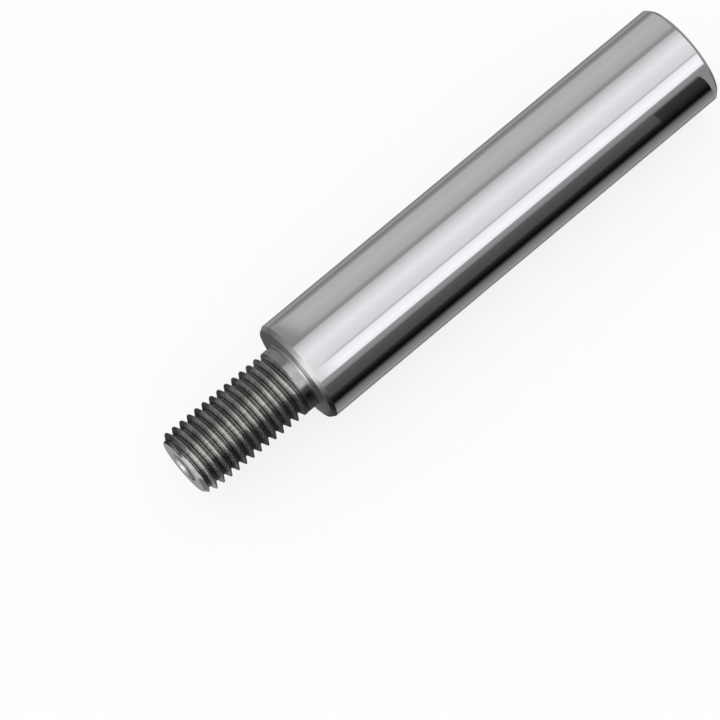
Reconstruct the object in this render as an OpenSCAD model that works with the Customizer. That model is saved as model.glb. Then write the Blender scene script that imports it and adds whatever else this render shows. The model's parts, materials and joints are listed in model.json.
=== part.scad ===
// Hard-chromed linear shaft with a threaded end.
// A straight steel bar turned in one piece. The long body is ground round and plated,
// and a stud stands out of its shoulder to be screwed into, or through, the part that holds it.
// The axis is X. The plain end's face is at x = 0 and the stud points along +X.

/* [Ground body] */
// Diameter of the ground body
shaft_d = 30; // [26:0.5:60]
// Length of the body, from the plain end's face to the shoulder's face
body_l = 134; // [30:1:1000]
// Chamfer of 45 degrees round the plain end
end_chamfer = 1; // [0.2:0.1:3]
// Length along the axis of the chamfer round the shoulder
shoulder_chamfer_l = 1.2; // [0.2:0.1:1.5]
// Angle between that chamfer and the axis
shoulder_chamfer_angle = 30; // [15:1:45]

/* [Threaded stud] */
// Major diameter of the thread that is cut on the stud
thread_d = 20; // [14:0.5:21]
// Length of the stud, from the shoulder's face to the tip's face
stud_l = 38; // [20:0.5:120]
// Chamfer of 45 degrees at the tip, which leads a nut on
tip_chamfer = 2; // [0.5:0.1:3]

/* [Plain neck] */
// Length of the unthreaded neck between the shoulder and the thread
neck_l = 4; // [2:0.1:10]
// How far the neck lies below the thread's crests
neck_relief = 0.35; // [0.05:0.05:1]
// Fillet where the neck meets the shoulder
neck_fillet = 0.6; // [0.2:0.1:1]

/* [Centre hole] */
// Diameter of the pilot drilled in the tip
pilot_d = 4; // [2.5:0.05:5]
// Depth of the pilot's straight wall below the tip's face
pilot_depth = 8; // [5:0.1:12]
// Diameter of the cone's mouth in the tip's face
mouth_d = 9.5; // [6:0.1:11]
// Full angle of the cone that the lathe centre seats in
centre_angle = 60; // [60, 90]
// Full angle of the pilot drill's point
drill_point_angle = 118; // [90:1:140]

/* [Hidden] */
$fn = 96;

overall_l = body_l + stud_l;
shaft_r = shaft_d / 2;
thread_r = thread_d / 2;
neck_r = thread_r - neck_relief;
pilot_r = pilot_d / 2;
mouth_r = mouth_d / 2;
shoulder_chamfer_drop = shoulder_chamfer_l * tan(shoulder_chamfer_angle);
mouth_depth = (mouth_r - pilot_r) / tan(centre_angle / 2);
drill_point_l = pilot_r / tan(drill_point_angle / 2);

// Half of the shaft's lengthwise section: radius across, distance from the plain end upwards.
// The outline runs from the plain end over the body, the shoulder, the neck and the thread to
// the tip, and down into the centre hole. The thread is drawn at its major diameter. The square
// corner left at the foot of the neck is hollowed out by the fillet's circle.
module half_section() {
    difference() {
        polygon([
            [0, 0],
            [shaft_r - end_chamfer, 0],
            [shaft_r, end_chamfer],
            [shaft_r, body_l - shoulder_chamfer_l],
            [shaft_r - shoulder_chamfer_drop, body_l],
            [neck_r + neck_fillet, body_l],
            [neck_r + neck_fillet, body_l + neck_fillet],
            [neck_r, body_l + neck_fillet],
            [neck_r, body_l + neck_l],
            [thread_r, body_l + neck_l + neck_relief],
            [thread_r, overall_l - tip_chamfer],
            [thread_r - tip_chamfer, overall_l],
            [mouth_r, overall_l],
            [pilot_r, overall_l - mouth_depth],
            [pilot_r, overall_l - pilot_depth],
            [0, overall_l - pilot_depth - drill_point_l]
        ]);
        translate([neck_r + neck_fillet, body_l + neck_fillet])
            circle(r = neck_fillet);
    }
}

// The whole shaft: its half section turned about the axis, then laid along X
module shaft() {
    color("gainsboro")
        rotate([0, 90, 0])
            rotate_extrude()
                half_section();
}

shaft();
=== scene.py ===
"""A linear shaft: a ground and hard-chromed bar with a turned and threaded stud, lying on a pale floor."""

import json

import bmesh
import bpy
import numpy as np
from mathutils import Matrix, Vector


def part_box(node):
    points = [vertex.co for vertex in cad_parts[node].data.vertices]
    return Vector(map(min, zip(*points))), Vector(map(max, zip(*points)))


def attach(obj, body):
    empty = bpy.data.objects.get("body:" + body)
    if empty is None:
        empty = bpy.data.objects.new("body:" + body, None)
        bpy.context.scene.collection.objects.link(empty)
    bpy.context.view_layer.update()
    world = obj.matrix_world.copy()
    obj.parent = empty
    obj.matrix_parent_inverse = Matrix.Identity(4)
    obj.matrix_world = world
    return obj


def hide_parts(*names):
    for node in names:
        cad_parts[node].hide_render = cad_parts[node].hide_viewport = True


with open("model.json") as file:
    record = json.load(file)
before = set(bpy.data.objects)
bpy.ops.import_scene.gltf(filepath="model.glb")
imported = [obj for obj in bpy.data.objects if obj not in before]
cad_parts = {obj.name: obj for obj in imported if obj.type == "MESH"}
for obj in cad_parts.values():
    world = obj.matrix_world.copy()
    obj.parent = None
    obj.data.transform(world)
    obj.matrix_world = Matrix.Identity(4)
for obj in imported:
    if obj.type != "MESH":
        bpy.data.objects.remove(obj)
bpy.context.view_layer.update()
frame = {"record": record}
scene = bpy.context.scene
scene.view_settings.view_transform = "Standard"

# The shaft is one bar of hardened steel. The long body is ground round and hard-chromed. One end is then
# turned down to a neck and a stud with a coarse right-hand thread, and a centre is drilled into the stud's
# end, so the stud, the shoulder and both end faces are bare steel that keeps the marks of the tool.
mm = 0.001
mounts = {mount["name"]: mount for mount in frame["record"]["mounts"]}
body_r = mounts["journal"]["dims"]["r_mm"]
thread_r = mounts["thread"]["dims"]["r_mm"]
shoulder_x = mounts["shoulder"]["pos_m"][0] / mm
tip_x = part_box("shaft")[1].x / mm
edge_break = 0.12


def rounded_outline(corners, points):
    """The outline through (x, r, rounding) corners. Each inner corner gives way to the arc of its rounding
    that touches both of its sides, walked in equal angles, with one holding point on each side just past
    the arc."""
    hold = 0.04
    corners = np.asarray(corners, float)
    corner, rounding = corners[1:-1, :2], corners[1:-1, 2:]
    back = corners[:-2, :2] - corner
    ahead = corners[2:, :2] - corner
    back /= np.linalg.norm(back, axis=1, keepdims=True)
    ahead /= np.linalg.norm(ahead, axis=1, keepdims=True)
    half = np.arccos((back * ahead).sum(axis=1, keepdims=True)) / 2
    middle = (back + ahead) / np.linalg.norm(back + ahead, axis=1, keepdims=True)
    centre = corner + middle * rounding / np.sin(half)
    reach = rounding / np.tan(half)
    first, last = corner + back * reach - centre, corner + ahead * reach - centre
    sweep = (np.pi - 2 * half)[:, :, None]
    share = np.linspace(0, 1, points)[None, :, None]
    spoke = np.sin((1 - share) * sweep) * first[:, None] + np.sin(share * sweep) * last[:, None]
    arc = centre[:, None] + spoke / np.sin(sweep)
    before = (corner + back * (reach + hold))[:, None]
    after = (corner + ahead * (reach + hold))[:, None]
    walked = np.concatenate([before, arc, after], axis=1).reshape(-1, 2)
    return np.concatenate([corners[:1, :2], walked, corners[-1:, :2]])


def filled(outline, step):
    """The outline with evenly spaced points put into each side longer than the step."""
    sides = []
    for start, stop in zip(outline[:-1], outline[1:]):
        pieces = int(np.ceil(np.linalg.norm(stop - start) / step))
        sides.append(start + (stop - start) * np.arange(pieces)[:, None] / pieces)
    return np.concatenate([*sides, outline[-1:]])


# The body's outline goes from the middle of the plain end over both chamfers, down the shoulder's face and
# through the fillet on to the neck. Every edge is broken a little.
end_chamfer = 1.0
shoulder_chamfer_l = 1.2
shoulder_chamfer_drop = 0.69
neck_r = thread_r - 0.35
neck_fillet = 0.6
neck_start = shoulder_x + neck_fillet + 0.3
neck_end = shoulder_x + 4.0
body_corners = [
    (0, 0, 0),
    (0, body_r - end_chamfer, edge_break),
    (end_chamfer, body_r, edge_break),
    (shoulder_x - shoulder_chamfer_l, body_r, edge_break),
    (shoulder_x, body_r - shoulder_chamfer_drop, edge_break),
    (shoulder_x, neck_r, neck_fillet),
    (neck_start, neck_r, 0),
]
body_outline = rounded_outline(body_corners, 7)

# The tip's outline crosses the stud's end face and goes down the lathe centre: a cone of 60 degrees, the
# pilot's wall and the point that its drill leaves.
tip_chamfer = 2.0
centre_mouth_r = 4.75
centre_pilot_r = 2.0
centre_depth = 8.0
centre_cone_l = (centre_mouth_r - centre_pilot_r) / np.tan(np.radians(30.0))
drill_point_l = centre_pilot_r / np.tan(np.radians(59.0))
tip_corners = [
    (tip_x, thread_r - tip_chamfer, 0),
    (tip_x, centre_mouth_r, edge_break),
    (tip_x - centre_cone_l, centre_pilot_r, edge_break),
    (tip_x - centre_depth, centre_pilot_r, edge_break),
    (tip_x - centre_depth - drill_point_l, 0, 0),
]
tip_outline = filled(rounded_outline(tip_corners, 5), 0.4)

# The thread's tooth over one pitch, from the middle of a crest to the middle of the next. Points along the
# flanks let the tip's chamfer cut it cleanly. At the neck the tool is lifted out, and the last groove grows
# narrow and shallow.
pitch = 2.5
crest_r = thread_r - 0.28
crest_flat = pitch / 12
crest_rounding = 0.07
root_rounding = 0.34
sharp_root_r = crest_r - (pitch - crest_flat) / 2 * np.sqrt(3.0)
tooth_corners = [
    (0, crest_r, 0),
    (crest_flat / 2, crest_r, crest_rounding),
    (pitch / 2, sharp_root_r, root_rounding),
    (pitch - crest_flat / 2, crest_r, crest_rounding),
    (pitch, crest_r, 0),
]
tooth = filled(rounded_outline(tooth_corners, 4), 0.25)[:-1]
tooth_depth = crest_r - tooth[:, 1].min()
crest_at_zero = 1.45
first_crest = crest_at_zero + pitch * np.floor((neck_start - pitch - crest_at_zero) / pitch)
run_out_start = shoulder_x + 3.5
run_out_l = 0.75
least_depth = 0.05

columns = 160
turn = np.arange(columns) / columns
turns = int(np.ceil((tip_x - first_crest) / pitch))
groove = np.repeat(np.arange(turns), len(tooth))[:, None]
thread_x = first_crest + pitch * (groove + turn) + np.tile(tooth[:, 0], turns)[:, None]
thread_x = np.clip(thread_x, neck_start, tip_x)
groove_middle = first_crest + pitch * (groove + 0.5 + turn)
cut = np.clip((groove_middle - run_out_start) / run_out_l, 0, 1)
blank_r = np.interp(
    thread_x,
    [neck_end, neck_end + crest_r - neck_r, tip_x - tip_chamfer - crest_r + thread_r, tip_x],
    [neck_r, crest_r, crest_r, thread_r - tip_chamfer],
)
tooth_r = np.tile(tooth[:, 1], turns)[:, None]
lift = (1 - cut) * tooth_depth
thread_cut_r = np.minimum(blank_r, tooth_r + lift)
groove_depth = np.maximum(blank_r - crest_r + tooth_depth - lift, least_depth)
thread_depth = np.clip((blank_r - thread_cut_r) / groove_depth, 0, 1)


def wound_skin(name, row_x, row_r, row_shift, depth, finish):
    """A skin wound round the X axis: row k, column i lies at (x, r cos a, r sin a) with
    a = 2 pi i / columns. Past the last column a row joins on to the row that its shift names, which is one
    pitch further on a thread. Each place keeps how deep it lies in a groove or hole, and each face its
    finish."""
    weld = 1e-7
    crease = np.radians(28)
    rows = len(row_x)
    angle = 2 * np.pi * turn
    places = np.stack([row_x, row_r * np.cos(angle), row_r * np.sin(angle)], axis=2) * mm
    own = np.arange(rows * columns).reshape(rows, columns)
    joined = np.roll(own, -1, axis=1)
    joined[:, -1] = own[row_shift, 0]
    quads = np.stack([own[:-1], joined[:-1], joined[1:], own[1:]], axis=2).reshape(-1, 4)
    mesh = bpy.data.meshes.new(name)
    mesh.from_pydata(places.reshape(-1, 3).tolist(), [], quads.tolist())
    mesh.attributes.new("depth", "FLOAT", "POINT").data.foreach_set("value", depth.ravel())
    mesh.polygons.foreach_set("material_index", finish[:-1].ravel())
    welded = bmesh.new()
    welded.from_mesh(mesh)
    bmesh.ops.remove_doubles(welded, verts=welded.verts, dist=weld)
    bmesh.ops.recalc_face_normals(welded, faces=welded.faces)
    welded.to_mesh(mesh)
    welded.free()
    mesh.polygons.foreach_set("use_smooth", np.ones(len(mesh.polygons), bool))
    mesh.set_sharp_from_angle(angle=crease)
    made = bpy.data.objects.new(name, mesh)
    scene.collection.objects.link(made)
    return made


def all_round(outline):
    """An outline's x and r, each repeated in every column."""
    return np.repeat(outline[:, 0:1], columns, axis=1), np.repeat(outline[:, 1:2], columns, axis=1)


# Body, thread and tip are joined row by row into one skin. The thread's rows each join on to the row one
# pitch ahead. The centre hole counts as deep a little below its mouth, where its painted shade sets in.
dark_below = 0.55
body_rows = all_round(body_outline)
tip_rows = all_round(tip_outline)
shaft_x = np.concatenate([body_rows[0], thread_x, tip_rows[0]])
shaft_r = np.concatenate([body_rows[1], thread_cut_r, tip_rows[1]])
hole_depth = np.clip((centre_mouth_r - tip_rows[1]) / dark_below, 0, 0.95)
shaft_depth = np.concatenate([np.zeros_like(body_rows[0]), thread_depth, hole_depth])
first_thread_row = len(body_outline)
last_thread_row = first_thread_row + len(thread_x) - 1
row = np.arange(len(shaft_x))
in_thread = (row >= first_thread_row) & (row <= last_thread_row)
joins = np.where(in_thread, np.minimum(row + len(tooth), last_thread_row), row)

# Each place has one of four finishes: chrome on the body, faced steel on the shoulder and its chamfer, cut
# steel in the thread's grooves and the centre hole, and turned steel elsewhere.
chrome_finish, turned_finish, cut_finish, faced_finish = range(4)
on_body = row[:, None] < first_thread_row
chrome_to = shoulder_x - shoulder_chamfer_l
chromed = on_body & (shaft_x >= end_chamfer) & (shaft_x < chrome_to)
faced = on_body & (shaft_x >= chrome_to)
in_groove = shaft_depth > 0.01
shaft_finish = np.select(
    [chromed, faced, in_groove],
    [chrome_finish, faced_finish, cut_finish],
    turned_finish,
)
shaft = wound_skin("chromed_shaft", shaft_x, shaft_r, joins, shaft_depth, shaft_finish)

# Turning and grinding leave fine rings round the axis. The rings are noise of the place along the axis and
# of the distance from it, which lets them follow the cylinders, the faces and the thread's flanks alike. The
# tool's chatter draws short marks along the axis, and outwards from it on the flanks.
tool_marks = bpy.data.node_groups.new("tool_marks", "ShaderNodeTree")
tool_marks.interface.new_socket("Rings per Metre", in_out="INPUT", socket_type="NodeSocketFloat")
tool_marks.interface.new_socket("Wander", in_out="INPUT", socket_type="NodeSocketFloat")
tool_marks.interface.new_socket("Rings", in_out="OUTPUT", socket_type="NodeSocketFloat")
tool_marks.interface.new_socket("Patches", in_out="OUTPUT", socket_type="NodeSocketFloat")
tool_marks.interface.new_socket("Chatter", in_out="OUTPUT", socket_type="NodeSocketFloat")


def wire(tree, kind, inputs=(), **settings):
    """A new node with its settings, each input given a number or linked from another node's output."""
    node = tree.nodes.new(kind)
    for name, value in settings.items():
        setattr(node, name, value)
    for name, value in dict(inputs).items():
        if isinstance(value, bpy.types.NodeSocket):
            tree.links.new(value, node.inputs[name])
        else:
            node.inputs[name].default_value = value
    return node


def vector_math(tree, operation, inputs):
    """The vector that an operation makes of its inputs."""
    return wire(tree, "ShaderNodeVectorMath", inputs, operation=operation).outputs[0]


def noise(tree, place, scale, detail, roughness):
    """The value of layered noise at a place, each layer finer and weaker by the roughness."""
    inputs = {"Vector": place, "Scale": scale, "Detail": detail, "Roughness": roughness}
    return wire(tree, "ShaderNodeTexNoise", inputs).outputs[0]


marks_round = 24.0
marks_along = (300.0, 0, 0)
group_in = wire(tool_marks, "NodeGroupInput").outputs
group_out = wire(tool_marks, "NodeGroupOutput")
place = wire(tool_marks, "ShaderNodeTexCoord").outputs["Object"]
split = wire(tool_marks, "ShaderNodeSeparateXYZ", {"Vector": place}).outputs
across = wire(tool_marks, "ShaderNodeCombineXYZ", {"Y": split["Y"], "Z": split["Z"]}).outputs[0]
distance = wire(tool_marks, "ShaderNodeVectorMath", {0: across}, operation="LENGTH").outputs["Value"]
ring_place = wire(tool_marks, "ShaderNodeCombineXYZ", {"X": split["X"], "Y": distance}).outputs[0]
rings_scaled = vector_math(tool_marks, "SCALE", {0: ring_place, "Scale": group_in["Rings per Metre"]})
wandering = vector_math(tool_marks, "SCALE", {0: across, "Scale": group_in["Wander"]})
ring_vector = vector_math(tool_marks, "ADD", {0: rings_scaled, 1: wandering})
outwards = vector_math(tool_marks, "NORMALIZE", {0: across})
turned_place = vector_math(tool_marks, "SCALE", {0: outwards, "Scale": marks_round})
drawn_out = vector_math(tool_marks, "MULTIPLY_ADD", {0: place, 1: marks_along, 2: turned_place})
tool_marks.links.new(noise(tool_marks, drawn_out, 1.0, 1.0, 0.5), group_out.inputs["Chatter"])
tool_marks.links.new(noise(tool_marks, ring_vector, 1.0, 3.0, 0.65), group_out.inputs["Rings"])
tool_marks.links.new(noise(tool_marks, place, 95.0, 4.0, 0.55), group_out.inputs["Patches"])


def metal_finish(name):
    """A new metal with its shader and its tool marks placed in it."""
    finish = bpy.data.materials.new(name)
    finish.use_nodes = True
    tree = finish.node_tree
    shader = tree.nodes["Principled BSDF"]
    shader.inputs["Metallic"].default_value = 1.0
    marks = wire(tree, "ShaderNodeGroup", node_tree=tool_marks)
    return finish, tree, shader, marks


def mapped(tree, value, source, target):
    """A value carried straight from its source range over to a target range, and held at the ends."""
    inputs = {
        "Value": value,
        "From Min": source[0],
        "From Max": source[1],
        "To Min": target[0],
        "To Max": target[1],
    }
    return wire(tree, "ShaderNodeMapRange", inputs).outputs[0]


def mixed(tree, share, first, second, blend_type="MIX"):
    """The second colour laid over the first by a share, mixed with it or multiplied by it."""
    inputs = {0: share, 6: first, 7: second}
    return wire(tree, "ShaderNodeMix", inputs, data_type="RGBA", blend_type=blend_type).outputs[2]


def tool_rings(tree, shader, marks, rings_per_metre, wander, roughness, height):
    """Sets the spacing of a metal's tool marks and lets them change its roughness and its height."""
    marks.inputs["Rings per Metre"].default_value = rings_per_metre
    marks.inputs["Wander"].default_value = wander
    rings = marks.outputs["Rings"]
    tree.links.new(mapped(tree, rings, (0.3, 0.7), roughness), shader.inputs["Roughness"])
    scratch = wire(tree, "ShaderNodeBump", {"Height": rings, "Strength": 0.5, "Distance": height})
    tree.links.new(scratch.outputs[0], shader.inputs["Normal"])


# Hard chrome over a ground surface: nearly a mirror, with faint grinding rings.
chrome, tree, shader, marks = metal_finish("hard_chrome")
tool_rings(tree, shader, marks, 5000.0, 60.0, (0.045, 0.085), 0.0000006)
tint = mixed(tree, marks.outputs["Patches"], (0.75, 0.76, 0.78, 1), (0.79, 0.80, 0.82, 1))
tree.links.new(tint, shader.inputs["Base Color"])

# Bare turned steel: darker than the chrome, with the tool's rings.
steel, tree, shader, marks = metal_finish("turned_steel")
tool_rings(tree, shader, marks, 3600.0, 140.0, (0.12, 0.22), 0.000003)
streak = mixed(tree, marks.outputs["Rings"], (0.40, 0.395, 0.39, 1), (0.58, 0.575, 0.565, 1))
tree.links.new(streak, shader.inputs["Base Color"])

# Faced steel on the shoulder, its chamfer and its fillet: cut with a coarser feed, so it is duller.
faced_steel, tree, shader, marks = metal_finish("faced_steel")
tool_rings(tree, shader, marks, 3600.0, 140.0, (0.30, 0.42), 0.000004)
streak = mixed(tree, marks.outputs["Rings"], (0.46, 0.455, 0.45, 1), (0.64, 0.635, 0.625, 1))
tree.links.new(streak, shader.inputs["Base Color"])

# Cut steel in the thread's grooves and the centre hole: torn by the tool and rougher. Its colour goes by
# depth: bright towards the crests and the hole's mouth and dark deeper down, which is painted shade together
# with the oil that stays there. The very root of a groove is painted paler, a painted highlight along its
# curve.
cut_steel, tree, shader, marks = metal_finish("cut_steel")
tool_rings(tree, shader, marks, 4200.0, 160.0, (0.24, 0.38), 0.000006)
depth = wire(tree, "ShaderNodeAttribute", attribute_name="depth").outputs["Fac"]
ramp = wire(tree, "ShaderNodeValToRGB", {"Fac": depth})
unshaded_tone = (0.74, 0.735, 0.72, 1)
half_shaded_tone = (0.60, 0.59, 0.575, 1)
oil_and_shade_tone = (0.07, 0.069, 0.066, 1)
root = (0.34, 0.335, 0.325, 1)
# The stops darken with depth as painted shade, partly oil, and the last stop is a painted highlight at the
# root.
stops = ramp.color_ramp.elements
stops[0].position, stops[0].color = 0.25, unshaded_tone
stops[1].position, stops[1].color = 0.70, half_shaded_tone
stops.new(0.955).color = oil_and_shade_tone
stops.new(0.993).color = root
torn = mapped(tree, marks.outputs["Rings"], (0.3, 0.7), (0.72, 1.1))
chattered = mapped(tree, marks.outputs["Chatter"], (0.35, 0.65), (0.70, 1.15))
streak = mixed(tree, 1.0, ramp.outputs[0], torn, "MULTIPLY")
streak = mixed(tree, 1.0, streak, chattered, "MULTIPLY")
tree.links.new(streak, shader.inputs["Base Color"])

shaft.data.materials.append(chrome)
shaft.data.materials.append(steel)
shaft.data.materials.append(cut_steel)
shaft.data.materials.append(faced_steel)
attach(shaft, "root")
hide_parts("shaft")

# The floor is a wide sheet of matt white card under the shaft, and the room round it is plain white. The
# eye sees the card mostly as plain white, and the rest of what it sees is the shaft's soft shadow.
floor_z = -body_r * mm
floor_half = 2.5
white_share = 0.80
floor_mesh = bpy.data.meshes.new("floor")
floor_edge = np.array([(-1, -1), (1, -1), (1, 1), (-1, 1)]) * floor_half
floor_mesh.from_pydata([(x, y, floor_z) for x, y in floor_edge.tolist()], [], [(0, 1, 2, 3)])
floor = bpy.data.objects.new("floor", floor_mesh)
scene.collection.objects.link(floor)
card = bpy.data.materials.new("white_card")
card.use_nodes = True
tree = card.node_tree
matt = tree.nodes["Principled BSDF"]
matt.inputs["Base Color"].default_value = (0.97, 0.97, 0.97, 1)
matt.inputs["Roughness"].default_value = 1.0
matt.inputs["Specular IOR Level"].default_value = 0.0
white = wire(tree, "ShaderNodeEmission", {"Color": (1, 1, 1, 1), "Strength": 1.0})
seen_by = wire(tree, "ShaderNodeLightPath").outputs
camera_or_glossy = wire(
    tree, "ShaderNodeMath", {0: seen_by["Is Camera Ray"], 1: seen_by["Is Glossy Ray"]}, operation="ADD"
).outputs[0]
seen = wire(
    tree, "ShaderNodeMath", {0: camera_or_glossy, 1: seen_by["Is Transmission Ray"]}, operation="MAXIMUM"
).outputs[0]
whitened = wire(
    tree, "ShaderNodeMath", {0: seen, 1: white_share}, operation="MULTIPLY", use_clamp=True
).outputs[0]
paled = wire(tree, "ShaderNodeMixShader", {0: whitened, 1: matt.outputs[0], 2: white.outputs[0]})
tree.links.new(paled.outputs[0], tree.nodes["Material Output"].inputs["Surface"])
floor_mesh.materials.append(card)

scene.world = bpy.data.worlds.new("white_room")
scene.world.use_nodes = True
scene.world.node_tree.nodes["Background"].inputs["Color"].default_value = (1, 1, 1, 1)
scene.world.node_tree.nodes["Background"].inputs["Strength"].default_value = 1.0
scene.world.cycles.sampling_method = "NONE"

# The light tent is an arch of cloth over the shaft, as for polished metal, that only the reflections see. It
# has a grey far wall, a broad panel overhead, a bright panel on the camera's side and a dark foot below
# that.
tent_r = 0.5
tent_middle = (0.0, floor_z)
arch = np.arange(0, 180.5, 0.5)
back_from, tent_from, front_from, tent_to = -1.2, -0.15, 0.045, 0.3


def glow_sheet(name, edge, run, levels):
    """A sheet that an edge of points sweeps along a straight run. It glows at each point of the edge with
    the level there, and only reflections see it, so it lights and shades nothing else."""
    count = len(edge)
    step = np.arange(count - 1)
    quads = np.stack([step, step + 1, step + 1 + count, step + count], axis=1)
    mesh = bpy.data.meshes.new(name)
    mesh.from_pydata(np.concatenate([edge, edge + run]).tolist(), [], quads.tolist())
    mesh.attributes.new("level", "FLOAT", "POINT").data.foreach_set("value", np.tile(levels, 2))
    sheet = bpy.data.objects.new(name, mesh)
    scene.collection.objects.link(sheet)
    cloth = bpy.data.materials.new(name + "_cloth")
    cloth.use_nodes = True
    cloth.cycles.emission_sampling = "NONE"
    tree = cloth.node_tree
    tree.nodes.remove(tree.nodes["Principled BSDF"])
    level = wire(tree, "ShaderNodeAttribute", attribute_name="level").outputs["Fac"]
    glow = wire(tree, "ShaderNodeEmission", {"Color": level, "Strength": 1.0})
    tree.links.new(glow.outputs[0], tree.nodes["Material Output"].inputs["Surface"])
    mesh.materials.append(cloth)
    sheet.visible_camera = False
    sheet.visible_diffuse = False
    sheet.visible_transmission = False
    sheet.visible_volume_scatter = False
    sheet.visible_shadow = False


def along_shaft(name, y, z, levels, x_from, x_to):
    """A glowing sheet that follows (y, z) points across the shaft and runs straight along it."""
    edge = np.stack([np.full(len(y), x_from), y, z], axis=1)
    glow_sheet(name, edge, np.array([x_to - x_from, 0, 0]), levels)


def arc_sheet(name, degrees, radius, middle, stops, x_from, x_to):
    """A glowing arc along the shaft: at each angle it lies at the middle plus radius times (cosine, sine)
    in y and z, and its level is straight between (degrees, level) stops."""
    y = middle[0] + radius * np.cos(np.radians(degrees))
    z = middle[1] + radius * np.sin(np.radians(degrees))
    along_shaft(name, y, z, np.interp(degrees, *np.array(stops, float).T), x_from, x_to)


tent_levels = [
    (0, 0.08),
    (6, 0.09),
    (9, 0.13),
    (13, 0.25),
    (23, 0.36),
    (24.5, 1.10),
    (34, 1.20),
    (47.5, 1.05),
    (49, 0.62),
    (51.5, 0.62),
    (53, 0.82),
    (66, 0.88),
    (82, 1.00),
    (97, 0.82),
    (110, 0.58),
    (111.5, 0.34),
    (116, 0.34),
    (124, 0.50),
    (150, 0.57),
    (180, 0.52),
]
arc_sheet("light_tent", arch, tent_r, tent_middle, tent_levels, tent_from, front_from)

# Over the stud the panels are evener and the far wall is a darker grey.
front_levels = [
    (0, 0.08),
    (9, 0.13),
    (13, 0.25),
    (23, 0.36),
    (25, 0.80),
    (48, 0.88),
    (66, 0.92),
    (82, 1.00),
    (97, 0.82),
    (108, 0.58),
    (112, 0.28),
    (180, 0.28),
]
arc_sheet("tent_front", arch, tent_r, tent_middle, front_levels, front_from, tent_to)

# The tent's back, past the plain end, lights the thread's flanks by way of their grooves. It is bright
# overhead and on the camera's side and dark on the far side.
back_levels = [
    (0, 0.06),
    (18, 0.10),
    (26, 1.20),
    (60, 1.50),
    (100, 1.40),
    (112, 0.12),
    (180, 0.05),
]
arc_sheet("tent_back", arch, tent_r, tent_middle, back_levels, back_from, tent_from)

# A dark roll of cloth lies along the camera's side of the shaft and gives the metal its dark band. Beside
# the body it is darkest in one line and pales below that. It is darker near the plain end, darkest beside
# the neck and evener beside the thread, and past the plain end it is grey.
roll_r = 0.015
roll_gap = 0.0003
roll_middle = (2 * body_r * mm + roll_gap, 0.0)
roll_arc = np.arange(60, 251, 1.0)
roll_from = 0.0020
plain_to = 0.0183
roll_to = (shoulder_x - shoulder_chamfer_l) * mm
stud_from = 0.1375
tip_end = tip_x * mm
roll_top = [(60, 0.40), (104, 0.38), (124, 0.33), (134, 0.28)]
roll_low = [(167, 0.004), (168.5, 0.004), (170.5, 0.03), (174, 0.17), (181, 0.27), (250, 0.27)]
plain_side = [(139, 0.12), (143, 0.045), (157, 0.032), (164, 0.010)]
body_side = [(139, 0.12), (155, 0.085), (158, 0.085), (161, 0.030), (164, 0.012)]
neck_side = [(139, 0.12), (157, 0.09), (163, 0.012), (173, 0.012), (187, 0.04), (212, 0.04), (250, 0.12)]
stud_side = [(139, 0.14), (157, 0.13), (165, 0.09), (187, 0.10), (212, 0.10), (250, 0.12)]
end_side = [(60, 0.30), (185, 0.30), (200, 0.60), (250, 0.60)]
roll_parts = [
    ("plain_roll", roll_top + plain_side + roll_low, roll_from, plain_to),
    ("body_roll", roll_top + body_side + roll_low, plain_to, roll_to),
    ("dark_roll", roll_top + neck_side, roll_to, stud_from),
    ("stud_roll", roll_top + stud_side, stud_from, tip_end),
    ("roll_end", end_side, tent_from, roll_from),
]
for name, roll_levels, x_from, x_to in roll_parts:
    arc_sheet(name, roll_arc, roll_r, roll_middle, roll_levels, x_from, x_to)

# Grey strips on the floor give the metal its other dark edge: a broad one under and beyond the shaft, a mid
# grey one past the plain end, and on top of them a pale one under the roll and a small one at the neck. The
# pale one darkens towards the shaft, a painted shadow of the shaft on the floor that only reflections see.
strip_lift = 0.0002
upper_lift = 0.0003
strip_from = -0.03
strip_to = tip_end - 0.005
strip_far, strip_near = -0.120, 0.060
end_from = -0.40
under_to = 0.131


def floor_strip(name, points, x_from, x_to, lift=strip_lift):
    """A glowing strip just above the floor, along the shaft and through (y, level) points across it."""
    y, levels = np.array(points, float).T
    along_shaft(name, y, np.full(len(y), floor_z + lift), levels, x_from, x_to)


grey_points = [
    (strip_far, 0.30),
    (-0.090, 0.20),
    (-0.060, 0.36),
    (-0.045, 0.36),
    (-0.030, 0.20),
    (-0.022, 0.12),
    (-0.005, 0.12),
    (0.0, 0.08),
    (strip_near, 0.08),
]
# The pale strip's levels darken towards the shaft: a painted shadow of the shaft on the floor.
under_points = [(0.008, 0.08), (0.014, 0.24), (0.018, 0.36), (strip_near, 0.36)]
foot_points = [(-0.004, 0.12), (0.0, 0.22), (0.008, 0.22)]
floor_strip("outer_strip", [(-tent_r, 0.45), (strip_far, 0.30)], tent_from, strip_to)
floor_strip("grey_strip", grey_points, strip_from, strip_to)
floor_strip("end_strip", [(strip_far, 0.50), (strip_near, 0.50)], end_from, strip_from)
floor_strip("under_strip", under_points, strip_from, under_to, upper_lift)
floor_strip("foot_strip", foot_points, shoulder_x * mm, neck_end * mm, upper_lift)

# Beyond the stud the floor is dark on both sides, darkest on the far side near the thread. In between it
# pales from the stud's end face outwards, a painted shadow of the stud on the floor that only reflections
# see.
slot_far, slot_near = -0.018, 0.008
far_to = 0.60
near_to = 0.21
shade_from, shade_to = 0.150, 0.240
floor_strip("far_strip", [(-tent_r, 0.20), (-0.030, 0.15), (slot_far, 0.15)], strip_to, far_to)
shade_points = [(-0.080, 0.12), (-0.055, 0.04), (slot_far, 0.04)]
floor_strip("shade_strip", shade_points, shade_from, shade_to, upper_lift)
floor_strip("near_strip", [(slot_near, 0.30), (0.012, 0.30), (strip_near, 0.26)], strip_to, near_to)
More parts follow.
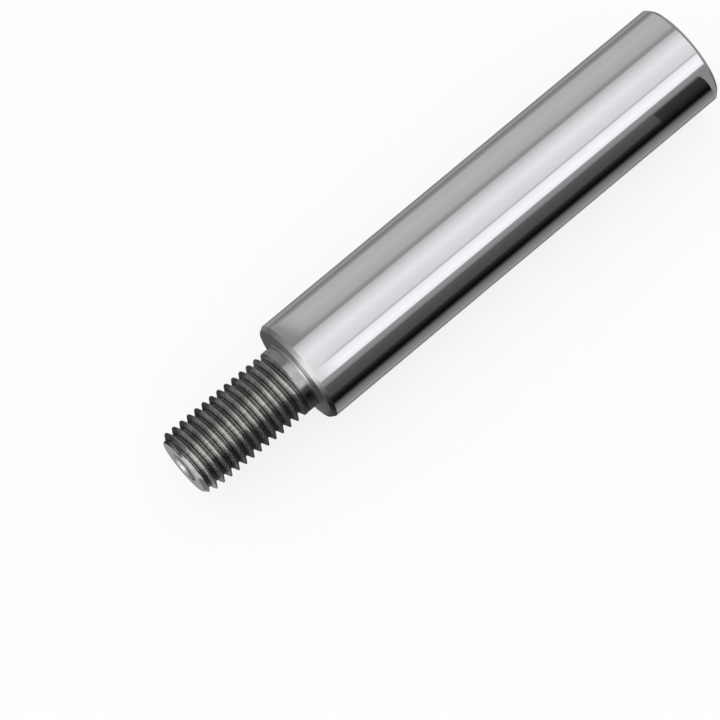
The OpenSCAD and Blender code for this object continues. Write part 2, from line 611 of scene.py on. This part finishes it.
# These levels are a painted shadow of the stud on the floor: darkest at the stud's end and paling outwards.
stud_shadow_points = [(strip_to, 0.12), (tip_end, 0.40), (0.180, 0.50), (0.195, 0.95), (0.30, 1.0)]
slot_x, stud_shadow_levels = np.array(stud_shadow_points).T
slot_edge = np.stack([slot_x, np.full(5, slot_far), np.full(5, floor_z + strip_lift)], axis=1)
glow_sheet("stud_shadow_strip", slot_edge, np.array([0, slot_near - slot_far, 0]), stud_shadow_levels)

# The tent's mouth beyond the stud has a bright hoop, which the neck's fillet and the thread's crests show,
# and is grey past that. A bright sheet stands across its end, with a dark one on each side of it.
hoop_to, mouth_to = 0.56, 1.1
hoop_levels = [
    (0, 0.90),
    (10, 1.00),
    (18, 1.10),
    (26, 1.40),
    (34, 2.40),
    (80, 2.60),
    (90, 0.45),
    (180, 0.25),
]
mouth_levels = [
    (0, 0.40),
    (10, 0.70),
    (20, 1.10),
    (30, 1.40),
    (50, 1.50),
    (88, 1.40),
    (98, 0.85),
    (117, 0.52),
    (141, 0.36),
    (180, 0.30),
]
arc_sheet("tent_hoop", arch, tent_r, tent_middle, hoop_levels, tent_to, hoop_to)
arc_sheet("tent_mouth", arch, tent_r, tent_middle, mouth_levels, hoop_to, mouth_to)
end_z = np.array([floor_z, 0.23, 0.28, tent_r])
end_dark, end_bright = 0.15, 1.3
bright_far, bright_near = -0.25, 0.30
end_parts = [
    ("end_far", -tent_r, bright_far, end_dark),
    ("end", bright_far, bright_near, end_bright),
    ("end_near", bright_near, tent_r, end_dark),
]
for name, y_from, y_to, low in end_parts:
    end_edge = np.stack([np.full(4, mouth_to), np.full(4, y_from), end_z], axis=1)
    end_levels = np.array([low, low, end_dark, end_dark])
    glow_sheet(name, end_edge, np.array([0, y_to - y_from, 0]), end_levels)

# The camera looks down on the shaft from the stud's end, with a long lens. It is a little turned about its
# own axis.
camera_azimuth = np.radians(154.508)
camera_elevation = np.radians(65.241)
camera_roll = np.radians(16.402)
camera_distance = 1.17796
camera_aim = Vector((0.119303, 0.008503, 0))
camera_data = bpy.data.cameras.new("camera")
camera_data.sensor_width = 36.0
camera_data.lens = 228.25
camera = bpy.data.objects.new("camera", camera_data)
scene.collection.objects.link(camera)
back = Vector(
    (
        np.sin(camera_azimuth) * np.cos(camera_elevation),
        -np.cos(camera_azimuth) * np.cos(camera_elevation),
        np.sin(camera_elevation),
    )
)
level_right = Vector((np.cos(camera_azimuth), np.sin(camera_azimuth), 0))
level_up = back.cross(level_right)
right = level_right * np.cos(camera_roll) - level_up * np.sin(camera_roll)
turned = Matrix((right, back.cross(right), back)).transposed().to_4x4()
camera.matrix_world = Matrix.Translation(camera_aim + back * camera_distance) @ turned
scene.camera = camera
